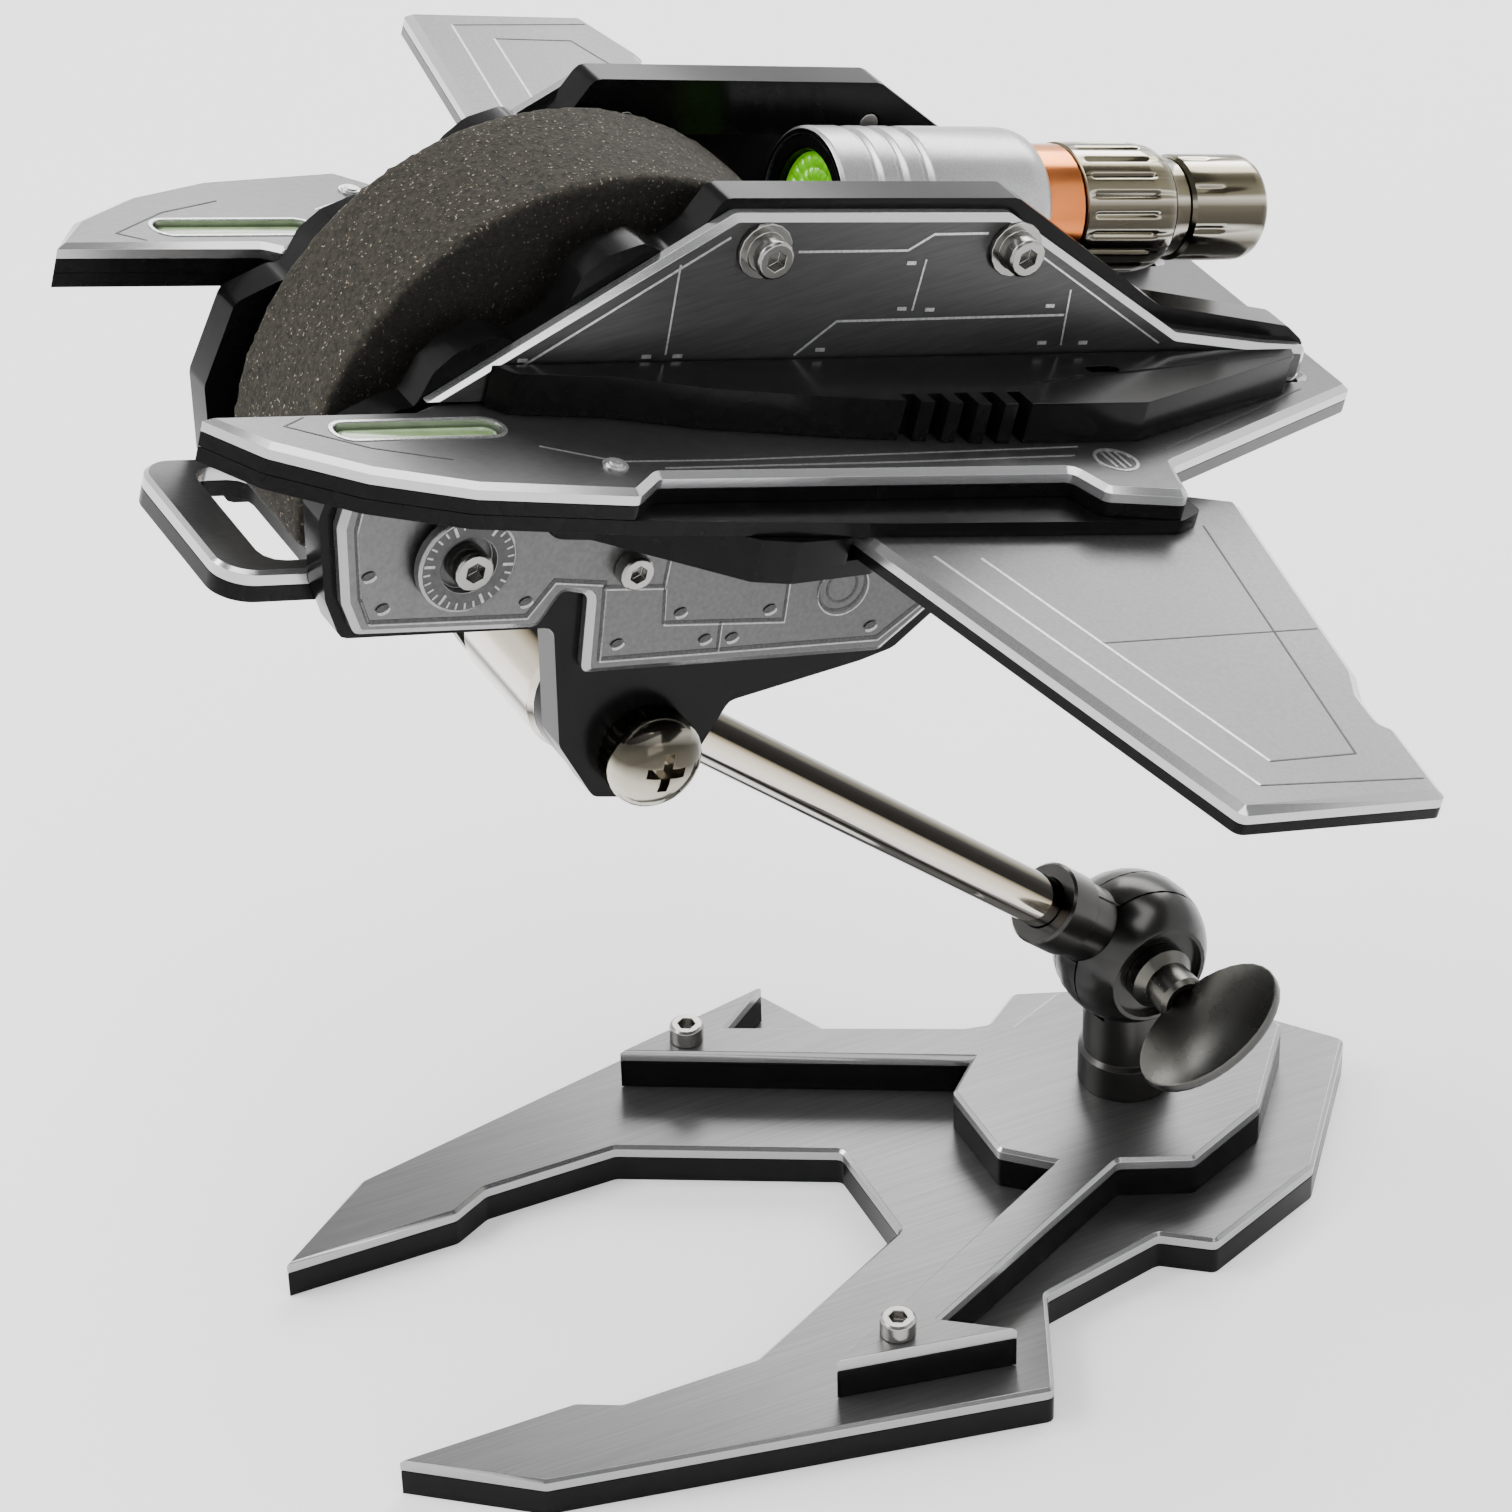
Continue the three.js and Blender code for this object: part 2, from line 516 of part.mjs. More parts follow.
function makeBarrel(group) {
  const { z, radius, front } = BARREL;
  const lift = (solid) => solid.translate([0, 0, z]);
  const grooves = [5, 9, 13].flatMap((at) => [
    [radius, front + at], [radius - 0.6, front + at + 0.5],
    [radius - 0.6, front + at + 1.2], [radius, front + at + 1.7],
  ]);
  const shoulder = [[radius, 49.2], [10.8, 50.8], [10.3, 52.1], [9.6, 52.9], [8.9, 53.3]];
  const body = turned([
    [0, front + 4], [9.9, front + 4], [9.9, front], [radius - 0.4, front], [radius, front + 0.4],
    ...grooves, ...shoulder, [0, 53.3],
  ], 'y', 48);
  add(group, 'barrel_body', lift(body), silver());

  const bezel = turned([
    [7.8, front + 3.8], [7.8, front + 0.7], [8.1, front + 0.3], [9.7, front + 0.3], [9.7, front + 3.8],
    [7.8, front + 3.8],
  ], 'y', 36);
  add(group, 'barrel_bezel', lift(bezel), acrylic());
  add(group, 'barrel_lens', lift(rodAlong('y', 7.6, front + 1.4, front + 3.8)), finish(0x55b000, 0.2, 0));
  add(group, 'copper_ring', lift(rodAlong('y', 8.8, 53.4, 59.1)), finish(0xc46a3a, 0.25, 1));

  const flutes = 20;
  const connector = turned([
    [0, 59.3], [8.7, 59.3], [9.05, 59.7], [9.05, 71.6], [8.8, 73.2], [8, 74.8], [7, 75.8], [6.9, 76.4],
    [6.9, 78.2], [0, 78.2],
  ], 'y', 40);
  const angles = Array.from({ length: flutes }, (unused, i) => (2 * Math.PI * i) / flutes);
  const fluted = angles.reduce((rest, angle) => {
    const place = [9.3 * Math.cos(angle), 0, 9.3 * Math.sin(angle)];
    const flute = rodAlong('y', 0.75, 61, 71.4, 8).translate(place);
    return rest.subtract(flute);
  }, connector);
  add(group, 'connector_body', lift(fluted), chrome());

  const end = turned([
    [0, 78.4], [7, 78.4], [7.5, 79], [7.5, 89.4], [7, 91], [6, 91.9], [5, 92], [5, 90], [0, 90],
  ], 'y', 40);
  add(group, 'connector_end', lift(end), chrome());

  const saddle = block([-8, 34, DECK_TOP + GAP], [8, 46.5, z - 6]);
  const bed = rodAlong('y', radius + 0.3, 20, 60, 48).translate([0, 0, z]);
  add(group, 'barrel_saddle', saddle.subtract(bed), acrylic());
}

// ---------------------------------------------------------------- assembly

function add(group, name, solid, material) {
  const mesh = new THREE.Mesh(toGeometry(solid), material);
  mesh.name = name;
  group.add(mesh);
}

const degrees = THREE.MathUtils.degToRad;
const object = new THREE.Group();
makeFoot(object);

const swivel = new THREE.Group();
swivel.position.z = KNUCKLE_HEIGHT;
swivel.rotation.z = degrees(YAW);
object.add(swivel);
makeKnuckle(swivel);
makeWingNut(swivel);

const arm = new THREE.Group();
arm.rotation.x = degrees(-ARM_RISE);
swivel.add(arm);
makeArm(arm);

const hull = new THREE.Group();
hull.position.y = -ARM_LENGTH;
hull.rotation.x = degrees(ARM_RISE - HULL_RISE);
arm.add(hull);
const deckUnderside = makeDeck(hull);
for (const [name, side] of [['left', 1], ['right', -1]]) {
  makeSides(hull, name, side);
  makePivotScrew(hull, name, side);
  makeFlank(hull, name, side, deckUnderside);
}
makeBumper(hull);
makeFoam(hull);
makeBarrel(hull);

export default object;
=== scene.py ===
# %% [markdown]
# # A desk display stand with a spacecraft-shaped hull
# Layered plates of black acrylic and brushed silver sheet stand on a jointed arm and a forked foot.
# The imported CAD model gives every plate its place. This notebook gives each one its finish, engraves
# the silver sheets, and builds the foam disc, the turned parts and the lens at a finer resolution.

import math

import bmesh
import bpy
from mathutils import Matrix, Vector, noise


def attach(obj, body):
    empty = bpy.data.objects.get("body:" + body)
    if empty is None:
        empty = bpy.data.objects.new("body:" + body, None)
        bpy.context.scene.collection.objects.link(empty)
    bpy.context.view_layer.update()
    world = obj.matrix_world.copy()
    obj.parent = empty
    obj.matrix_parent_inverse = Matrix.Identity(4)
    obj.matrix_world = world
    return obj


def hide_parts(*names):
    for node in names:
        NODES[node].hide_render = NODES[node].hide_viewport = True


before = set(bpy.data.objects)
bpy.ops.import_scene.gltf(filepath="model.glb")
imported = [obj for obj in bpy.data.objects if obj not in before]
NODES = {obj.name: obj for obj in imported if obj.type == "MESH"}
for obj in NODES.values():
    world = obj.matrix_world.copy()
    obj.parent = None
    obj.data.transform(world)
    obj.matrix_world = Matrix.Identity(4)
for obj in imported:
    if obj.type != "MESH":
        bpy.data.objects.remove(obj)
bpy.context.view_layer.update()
MM = 0.001
print("CAD nodes:", len(NODES))

# %% [markdown]
# ## Where the moving parts are
# The post turns a little on the foot, the arm rises from the knuckle, and the hull tips at the arm's end.
# A chain of matrices, from the foot up to the hull, places a point given in millimetres. Every detail below
# is drawn in the hull's own upright coordinates and moved to where the hull really is by the last one.

# %% Frames of the hull and the post
YAW = math.radians(3.3)
KNUCKLE_HEIGHT = 39.6
ARM_RISE = math.radians(42.3)
ARM_LENGTH = 124.7
HULL_RISE = math.radians(15.7)

FOOT = Matrix.Scale(MM, 4)
POST = FOOT @ Matrix.Translation((0, 0, KNUCKLE_HEIGHT)) @ Matrix.Rotation(YAW, 4, "Z")
ARM = POST @ Matrix.Rotation(-ARM_RISE, 4, "X")
HULL = (ARM @ Matrix.Translation((0, -ARM_LENGTH, 0))
        @ Matrix.Rotation(ARM_RISE - HULL_RISE, 4, "X"))
print("hull pivot at", [round(v, 4) for v in HULL.translation])

# %% [markdown]
# ## Camera and studio
# The camera looks down on the stand from its left front, a long lens that keeps the wings' edges nearly
# parallel. The floor is one pale sheet that curves up all round. Three wide area lights and a small weak one
# give soft gradients on the brushed sheet, as a product photographer's boxes do.

# %% Camera
CAMERA_TURN = math.radians(66.26)
CAMERA_HEIGHT = math.radians(35.71)
CAMERA_ROLL = math.radians(-1.6)
CAMERA_DISTANCE = 780
CAMERA_LENS = 115.95
AIM_ACROSS = -57.86
AIM_UP = 61.88
POST_OFFSET = 1.2

right = Vector((math.cos(CAMERA_TURN), math.sin(CAMERA_TURN), 0))
back = Vector((math.sin(CAMERA_TURN) * math.cos(CAMERA_HEIGHT),
               -math.cos(CAMERA_TURN) * math.cos(CAMERA_HEIGHT),
               math.sin(CAMERA_HEIGHT)))
up = back.cross(right)
right_rolled = right * math.cos(CAMERA_ROLL) + up * math.sin(CAMERA_ROLL)
up_rolled = up * math.cos(CAMERA_ROLL) - right * math.sin(CAMERA_ROLL)
place = (right_rolled * AIM_ACROSS + up_rolled * AIM_UP + back * CAMERA_DISTANCE
         - Vector((0, POST_OFFSET, 0)))

camera_data = bpy.data.cameras.new("camera")
camera_data.lens = CAMERA_LENS
camera_data.sensor_width = 36
camera_data.clip_end = 20
camera = bpy.data.objects.new("camera", camera_data)
camera.matrix_world = Matrix.Translation(place * MM) @ Matrix((
    (right_rolled.x, up_rolled.x, back.x, 0),
    (right_rolled.y, up_rolled.y, back.y, 0),
    (right_rolled.z, up_rolled.z, back.z, 0),
    (0, 0, 0, 1)))
bpy.context.scene.collection.objects.link(camera)
bpy.context.scene.camera = camera


# %% Shared mesh helpers
def new_piece(name, vertices, faces, smooth=False):
    """A mesh object from plain lists of points, in metres, and faces."""
    mesh = bpy.data.meshes.new(name)
    mesh.from_pydata([tuple(v) for v in vertices], [], faces)
    mesh.validate()
    mesh.polygons.foreach_set("use_smooth", [smooth] * len(mesh.polygons))
    piece = bpy.data.objects.new(name, mesh)
    bpy.context.scene.collection.objects.link(piece)
    return piece


def finish_piece(piece, body, material):
    """Gives a new piece its material and the body it moves with."""
    piece.data.materials.append(material)
    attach(piece, body)


# %% Floor and lights
FLOOR_REACH = 1.25
FLOOR_BEND = 0.5
WALL_TOP = 1.5


def make_floor():
    """A round floor whose rim curves up into a low wall, so that every side has a plain background."""
    count = 96
    profile = [(0.3, 0.0), (FLOOR_REACH, 0.0)]
    profile += [(FLOOR_REACH + FLOOR_BEND * math.sin(a), FLOOR_BEND - FLOOR_BEND * math.cos(a))
                for a in [math.pi / 2 * i / 12 for i in range(1, 13)]]
    profile.append((FLOOR_REACH + FLOOR_BEND, WALL_TOP))
    vertices = [(r * math.cos(2 * math.pi * i / count), r * math.sin(2 * math.pi * i / count), h)
                for r, h in profile for i in range(count)]
    faces = [(ring * count + i, ring * count + (i + 1) % count,
              (ring + 1) * count + (i + 1) % count, (ring + 1) * count + i)
             for ring in range(len(profile) - 1) for i in range(count)]
    faces.append(tuple(range(count))[::-1])
    return new_piece("floor", vertices, [face[::-1] for face in faces], smooth=True)


def area_light(name, position, target, size, power):
    data = bpy.data.lights.new(name, "AREA")
    data.shape = "RECTANGLE"
    data.size, data.size_y = size
    data.energy = power
    light = bpy.data.objects.new(name, data)
    direction = Vector(target) - Vector(position)
    turn = direction.to_track_quat("-Z", "Y").to_matrix().to_4x4()
    light.matrix_world = Matrix.Translation(position) @ turn
    bpy.context.scene.collection.objects.link(light)


floor = make_floor()
floor_material = bpy.data.materials.new("floor_paper")
floor_material.use_nodes = True
floor_shader = floor_material.node_tree.nodes["Principled BSDF"]
floor_shader.inputs["Base Color"].default_value = (0.93, 0.93, 0.93, 1)
floor_shader.inputs["Emission Color"].default_value = (1, 1, 1, 1)
floor_shader.inputs["Emission Strength"].default_value = 0.32
floor_shader.inputs["Roughness"].default_value = 0.8
floor.data.materials.append(floor_material)

AIM = (0.0, -0.05, 0.1)
area_light("key_light", (-0.35, -0.75, 0.95), AIM, (0.7, 0.5), 13)
area_light("rear_light", (-0.75, 0.7, 0.75), AIM, (1.0, 0.5), 12)
area_light("top_light", (0.15, 0.1, 1.25), AIM, (0.9, 0.9), 11)
area_light("near_light", (1.1, 0.1, 0.35), AIM, (0.5, 0.35), 1.5)

world = bpy.data.worlds.new("studio")
world.use_nodes = True
world.node_tree.nodes["Background"].inputs["Color"].default_value = (1, 1, 1, 1)
world.node_tree.nodes["Background"].inputs["Strength"].default_value = 0.25
bpy.context.scene.world = world
print("lights:", len(bpy.data.lights))

# %% [markdown]
# ## Materials
# Each finish is a small node tree on the Principled shader. Colours vary a little through noise in the
# object's own space, so that the pattern stays on the part when the part moves. The helper below starts
# a material and links nodes by name, which keeps each recipe down to a few lines.


# %% Node helpers
class Recipe:
    """A material being put together: its shader, and short ways to add and join nodes."""

    def __init__(self, name, color, roughness, metallic=0.0):
        self.material = bpy.data.materials.new(name)
        self.material.use_nodes = True
        self.tree = self.material.node_tree
        self.shader = self.tree.nodes["Principled BSDF"]
        self.shader.inputs["Base Color"].default_value = (*color, 1)
        self.shader.inputs["Roughness"].default_value = roughness
        self.shader.inputs["Metallic"].default_value = metallic
        self.place = self.node("ShaderNodeTexCoord")

    def node(self, kind, **values):
        node = self.tree.nodes.new(kind)
        for key, value in values.items():
            if key in node.inputs:
                node.inputs[key].default_value = value
            else:
                setattr(node, key, value)
        return node

    def join(self, output, socket):
        self.tree.links.new(output, socket)

    def stretched(self, turn, scale):
        """Object coordinates turned and stretched, for grain that runs one way."""
        mapping = self.node("ShaderNodeMapping", vector_type="POINT")
        mapping.inputs["Rotation"].default_value = turn
        mapping.inputs["Scale"].default_value = scale
        self.join(self.place.outputs["Object"], mapping.inputs["Vector"])
        return mapping.outputs["Vector"]

    def noise(self, scale, detail=2.0, vector=None):
        texture = self.node("ShaderNodeTexNoise")
        texture.inputs["Scale"].default_value = scale
        texture.inputs["Detail"].default_value = detail
        self.join(vector or self.place.outputs["Object"], texture.inputs["Vector"])
        return texture.outputs["Fac"]

    def ramp(self, value, low, high, start=0.35, end=0.65):
        """Maps a 0 to 1 value onto two colours."""
        ramp = self.node("ShaderNodeValToRGB")
        ramp.color_ramp.elements[0].position = start
        ramp.color_ramp.elements[1].position = end
        ramp.color_ramp.elements[0].color = (*low, 1)
        ramp.color_ramp.elements[1].color = (*high, 1)
        self.join(value, ramp.inputs["Fac"])
        return ramp.outputs["Color"]

    def spread(self, value, low, high):
        """Maps a 0 to 1 value onto a range of numbers."""
        spread = self.node("ShaderNodeMapRange")
        spread.inputs["To Min"].default_value = low
        spread.inputs["To Max"].default_value = high
        self.join(value, spread.inputs["Value"])
        return spread.outputs["Result"]

    def bump(self, height, strength, distance):
        bump = self.node("ShaderNodeBump")
        bump.inputs["Strength"].default_value = strength
        bump.inputs["Distance"].default_value = distance
        self.join(height, bump.inputs["Height"])
        self.join(bump.outputs["Normal"], self.shader.inputs["Normal"])


# %% [markdown]
# ### Brushed silver sheet
# The deck, the uprights and the foot are brushed along their length; the wings and lower panels are
# blasted. Milled edges show as bright lines. The grain is noise squeezed across the brushing.
# The edges are found from the surface's own normal: wherever it leaves the sheet's flat direction, the metal
# is smoother and takes a lighter tint of its own, partly the bare milled metal and partly a painted
# highlight.
# On most sheets the shade each one is given is painted shade: darker than the bare metal and darkest on the
# upright panels, it stands for the dark surroundings the sheets would reflect. The dials' darker grey is
# their own.


# %% Silver sheet
BRUSHED = (2600, 60, 2600)
BLASTED = (1500, 1500, 1500)


def silver_sheet(name, flat, grain_turn, shade, edge_shade, grain_scale=BRUSHED, grain_depth=0.1):
    recipe = Recipe(name, (0.4, 0.4, 0.4), 0.34, 0.9)
    grain = recipe.noise(1.0, 3, recipe.stretched(grain_turn, grain_scale))
    cloud = recipe.noise(9, 1)
    base = recipe.ramp(grain, [0.4 * shade] * 3, [0.5 * shade] * 3, 0.3, 0.7)
    drift = recipe.node("ShaderNodeMix", data_type="RGBA", blend_type="MULTIPLY")
    drift.inputs[0].default_value = 1.0
    recipe.join(base, drift.inputs[6])
    recipe.join(recipe.ramp(cloud, (0.62,) * 3, (1, 1, 1), 0.38, 0.62), drift.inputs[7])

    facing = recipe.node("ShaderNodeVectorMath", operation="DOT_PRODUCT")
    recipe.join(recipe.place.outputs["Normal"], facing.inputs[0])
    facing.inputs[1].default_value = flat
    size = recipe.node("ShaderNodeMath", operation="ABSOLUTE")
    recipe.join(facing.outputs["Value"], size.inputs[0])
    edge = recipe.node("ShaderNodeMath", operation="LESS_THAN")
    edge.inputs[1].default_value = 0.97
    recipe.join(size.outputs["Value"], edge.inputs[0])

    # Painted highlight: the edge mask gives the edges the lighter edge_shade tint, partly the milled metal's
    # own tone.
    color = recipe.node("ShaderNodeMix", data_type="RGBA")
    recipe.join(edge.outputs["Value"], color.inputs[0])
    recipe.join(drift.outputs[2], color.inputs[6])
    color.inputs[7].default_value = (edge_shade, edge_shade, edge_shade * 1.02, 1)
    recipe.join(color.outputs[2], recipe.shader.inputs["Base Color"])

    rough = recipe.node("ShaderNodeMix", data_type="FLOAT")
    recipe.join(edge.outputs["Value"], rough.inputs[0])
    recipe.join(recipe.spread(cloud, 0.28, 0.4), rough.inputs[2])
    rough.inputs[3].default_value = 0.2
    recipe.join(rough.outputs[0], recipe.shader.inputs["Roughness"])
    recipe.bump(grain, grain_depth, 0.00004)
    return recipe.material


HULL_TURN = HULL.to_3x3().normalized()
HULL_UP = tuple(HULL_TURN @ Vector((0, 0, 1)))
HULL_ACROSS = tuple(HULL_TURN @ Vector((1, 0, 0)))
HULL_GRAIN = (HULL_RISE, 0, -YAW)
# Painted shade: the fourth value, shade, is set darker than the bare metal, darkest on the uprights, for the
# dark surroundings the sheets would reflect; the dials' dark grey is their own. The fifth, edge_shade, is
# lighter, partly a painted highlight.
foot_silver = silver_sheet("silver_foot", (0, 0, 1), (0, 0, 0), 0.45, 0.36)
deck_silver = silver_sheet("silver_deck", HULL_UP, HULL_GRAIN, 0.31, 0.5)
wing_silver = silver_sheet("silver_wings", HULL_UP, HULL_GRAIN, 0.45, 0.48, BLASTED, 0.12)
upright_silver = silver_sheet("silver_uprights", HULL_ACROSS, HULL_GRAIN, 0.2, 0.5)
panel_silver = silver_sheet("silver_panels", HULL_ACROSS, HULL_GRAIN, 0.3, 0.32, BLASTED, 0.6)
dial_silver = silver_sheet("silver_dials", HULL_ACROSS, HULL_GRAIN, 0.17, 0.24, BLASTED, 0.3)


# %% [markdown]
# ### Black acrylic and plated metals
# Cast acrylic is a deep black whose roughness and shade drift a little, with a very slight waviness. The
# chrome parts and the thumb nut have light and dark bands painted into their tint, as a ramp over the
# direction each spot faces, because the pale studio has nothing dark to reflect. The rod's and the
# connector's bands are turned to suit the side the photograph shows. All of them stay fixed to their parts.

# %% Acrylic and plated metals
def acrylic(name):
    recipe = Recipe(name, (0.003, 0.003, 0.0035), 0.3)
    smudge = recipe.noise(45, 4)
    recipe.join(recipe.spread(smudge, 0.12, 0.28), recipe.shader.inputs["Roughness"])
    recipe.join(recipe.ramp(recipe.noise(300, 1), (0.0025,) * 3, (0.0035,) * 3),
                recipe.shader.inputs["Base Color"])
    recipe.shader.inputs["Specular IOR Level"].default_value = 0.1
    recipe.bump(recipe.noise(60, 1), 0.04, 0.0001)
    return recipe.material


def plated(name, dark, light, low, high):
    recipe = Recipe(name, light, low, 1.0)
    drift = recipe.noise(35, 3)
    recipe.join(recipe.ramp(drift, dark, light), recipe.shader.inputs["Base Color"])
    recipe.join(recipe.spread(recipe.noise(180, 3), low, high), recipe.shader.inputs["Roughness"])
    return recipe.material


def painted_reflection_plating(name, upward, bands, low, high):
    """Plating with painted reflections: its tint runs through light and dark bands from the side facing away
    from upward to the side facing it.
    """
    recipe = Recipe(name, (0.5, 0.5, 0.5), low, 1.0)
    facing = recipe.node("ShaderNodeVectorMath", operation="DOT_PRODUCT")
    recipe.join(recipe.place.outputs["Normal"], facing.inputs[0])
    facing.inputs[1].default_value = upward
    height = recipe.node("ShaderNodeMapRange")
    height.inputs["From Min"].default_value = -1
    recipe.join(facing.outputs["Value"], height.inputs["Value"])
    ramp = recipe.node("ShaderNodeValToRGB")
    while len(ramp.color_ramp.elements) < len(bands):
        ramp.color_ramp.elements.new(0.5)
    for element, (position, color) in zip(ramp.color_ramp.elements, bands):
        element.position = position
        element.color = (*color, 1)
    recipe.join(height.outputs["Result"], ramp.inputs["Fac"])
    recipe.join(ramp.outputs["Color"], recipe.shader.inputs["Base Color"])
    recipe.join(recipe.spread(recipe.noise(180, 3), low, high), recipe.shader.inputs["Roughness"])
    return recipe.material


def across_view(axis):
    """The upward direction square to an axis and to the photograph's line of sight."""
    sideways = axis.cross(back).normalized()
    return tuple(sideways if sideways.z > 0 else -sideways)


ROD_AXIS = (ARM.to_3x3() @ Vector((0, 1, 0))).normalized()
HULL_AXIS = HULL_TURN @ Vector((0, 1, 0))
ROD_PAINTED_BANDS = [(0.0, (0.3, 0.29, 0.26)), (0.1, (0.75, 0.72, 0.66)), (0.17, (0.06, 0.05, 0.04)),
             (0.21, (0.8, 0.77, 0.72)), (0.33, (0.72, 0.66, 0.56)), (0.5, (0.5, 0.44, 0.34)),
             (0.57, (0.24, 0.2, 0.13)), (0.61, (0.012, 0.011, 0.009)), (0.84, (0.015, 0.013, 0.01)),
             (0.9, (0.13, 0.115, 0.08)), (1.0, (0.05, 0.045, 0.035))]
SHELL_PAINTED_BANDS = [(0.0, (0.24, 0.224, 0.176)), (0.12, (0.08, 0.072, 0.056)), (0.22, (0.44, 0.416, 0.36)),
               (0.28, (0.04, 0.036, 0.028)), (0.44, (0.096, 0.084, 0.06)), (0.52, (0.496, 0.464, 0.384)),
               (0.56, (0.16, 0.144, 0.096)), (0.7, (0.12, 0.104, 0.068)), (0.82, (0.24, 0.216, 0.152)),
               (0.88, (0.6, 0.576, 0.512)), (0.93, (0.16, 0.144, 0.096)), (1.0, (0.064, 0.056, 0.04))]
DOME_PAINTED_BANDS = [(0.0, (0.36, 0.336, 0.28)), (0.3, (0.56, 0.528, 0.448)), (0.48, (0.4, 0.368, 0.296)),
              (0.6, (0.072, 0.064, 0.048)), (0.75, (0.04, 0.036, 0.028)), (0.85, (0.24, 0.224, 0.184)),
              (1.0, (0.096, 0.088, 0.072))]
PADDLE_PAINTED_BANDS = [(0.0, (0.03, 0.03, 0.03)), (0.5, (0.045, 0.045, 0.045)), (0.7, (0.07, 0.07, 0.066)),
                (0.9, (0.12, 0.115, 0.1)), (1.0, (0.08, 0.08, 0.075))]

black_acrylic = acrylic("black_acrylic")
chrome = painted_reflection_plating("chrome_rod", across_view(ROD_AXIS), ROD_PAINTED_BANDS, 0.05, 0.1)
shell_chrome = painted_reflection_plating("chrome_shell", across_view(HULL_AXIS), SHELL_PAINTED_BANDS, 0.1, 0.18)
dome_chrome = painted_reflection_plating("chrome_dome", (0.1, 0.3, 0.95), DOME_PAINTED_BANDS, 0.08, 0.16)
paddle_nickel = painted_reflection_plating("paddle_nickel", (0.3, -0.5, 0.81), PADDLE_PAINTED_BANDS, 0.22, 0.34)
steel = plated("bright_steel", (0.2, 0.2, 0.19), (0.38, 0.37, 0.35), 0.14, 0.26)
black_nickel = plated("black_nickel", (0.03, 0.03, 0.03), (0.075, 0.073, 0.068), 0.18, 0.28)
copper = plated("copper", (0.48, 0.12, 0.03), (0.78, 0.25, 0.07), 0.12, 0.22)
print("materials so far:", len(bpy.data.materials))


# %% Barrel silver
def barrel_finish():
    """Satin anodised metal, with the front rim and its chamfer left black."""
    recipe = Recipe("barrel_silver", (0.4, 0.4, 0.41), 0.32, 0.9)
    satin = recipe.ramp(recipe.noise(3000, 1), (0.36, 0.36, 0.37), (0.42, 0.42, 0.43))
    facing = recipe.node("ShaderNodeVectorMath", operation="DOT_PRODUCT")
    recipe.join(recipe.place.outputs["Normal"], facing.inputs[0])
    facing.inputs[1].default_value = tuple(-HULL_AXIS)
    front = recipe.node("ShaderNodeMath", operation="GREATER_THAN")
    front.inputs[1].default_value = 0.9
    recipe.join(facing.outputs["Value"], front.inputs[0])
    color = recipe.node("ShaderNodeMix", data_type="RGBA")
    recipe.join(front.outputs["Value"], color.inputs[0])
    recipe.join(satin, color.inputs[6])
    color.inputs[7].default_value = (0.012, 0.012, 0.013, 1)
    recipe.join(color.outputs[2], recipe.shader.inputs["Base Color"])
    recipe.join(recipe.spread(recipe.noise(700, 1), 0.3, 0.34), recipe.shader.inputs["Roughness"])
    return recipe.material


barrel_silver = barrel_finish()

# %% Dress the plates
BLACK = ["base_plate_black", "fork_plate_black", "tee_spacer", "deck_black_upper", "bumper_black",
         "barrel_saddle", "barrel_bezel"]
STEEL = ["post_screw", "clamp_bolt", "foam_axle"]
for side in ("left", "right"):
    BLACK += [f"{part}_{side}" for part in ("side_plate", "deck_black_lower", "wing_black", "keel_plate",
                                            "engine_cover")]
    STEEL += [f"{part}_{side}" for part in ("fork_screw", "upright_screw_front", "upright_screw_rear",
                                            "dial_screw", "hull_screw")]


def dress(names, material):
    for name in names:
        NODES[name].data.materials.clear()
        NODES[name].data.materials.append(material)


dress(BLACK, black_acrylic)
dress(STEEL, steel)
dress(["post_knuckle", "arm_socket"], black_nickel)
dress(["wing_nut"], paddle_nickel)
dress(["arm_rod", "arm_tee"], chrome)
dress(["deck_silver", "bumper_silver"], deck_silver)
for side in ("left", "right"):
    dress([f"wing_silver_{side}"], wing_silver)
    dress([f"hull_panel_{side}"], panel_silver)
    dress([f"upright_panel_{side}"], upright_silver)
    dress([f"dial_washer_{side}"], dial_silver)
    dress([f"pivot_collar_{side}", f"pivot_screw_{side}"], dome_chrome)
dress(["base_plate_silver", "fork_plate_silver"], foot_silver)
dress(["copper_ring"], copper)
dress(["barrel_body"], barrel_silver)

# %% [markdown]
# ## Edges that catch the light
# No cut or turned edge is perfectly sharp. A Weld modifier joins the CAD facets, smooth shading rounds
# the turned parts, and a Bevel of about a tenth of a millimetre breaks the corners. Modifiers leave the
# CAD mesh's points as they are. Harden Normals keeps the flat faces flat beside their rounded edges.

# %% Soften the edges
EDGE_BREAK = 0.12 * MM
CREASE = math.radians(32)


def soften(node):
    mesh = node.data
    if "custom_normal" in mesh.attributes:
        mesh.attributes.remove(mesh.attributes["custom_normal"])
    mesh.polygons.foreach_set("use_smooth", [True] * len(mesh.polygons))
    weld = node.modifiers.new("weld", "WELD")
    weld.merge_threshold = 0.002 * MM
    bevel = node.modifiers.new("edge_break", "BEVEL")
    bevel.width = EDGE_BREAK
    bevel.segments = 2
    bevel.limit_method = "ANGLE"
    bevel.angle_limit = CREASE
    bevel.harden_normals = True


for node in NODES.values():
    soften(node)
print("softened:", len(NODES))

# %% [markdown]
# ## Engraving
# The silver sheets carry shallow laser lines: panel joints, double borders and rivets. Each line is a
# thin flat-topped strip laid on the sheet. A strip is drawn as a list of points in the sheet's own plane,
# and joined into one mesh for each sheet, so there are few objects and every line is real geometry.
# The bright strips just below the hull panels' lines and rivets are painted highlights.

# %% Line and dot meshes
LINE_HEIGHT = 0.05
LINE_SINK = 0.03


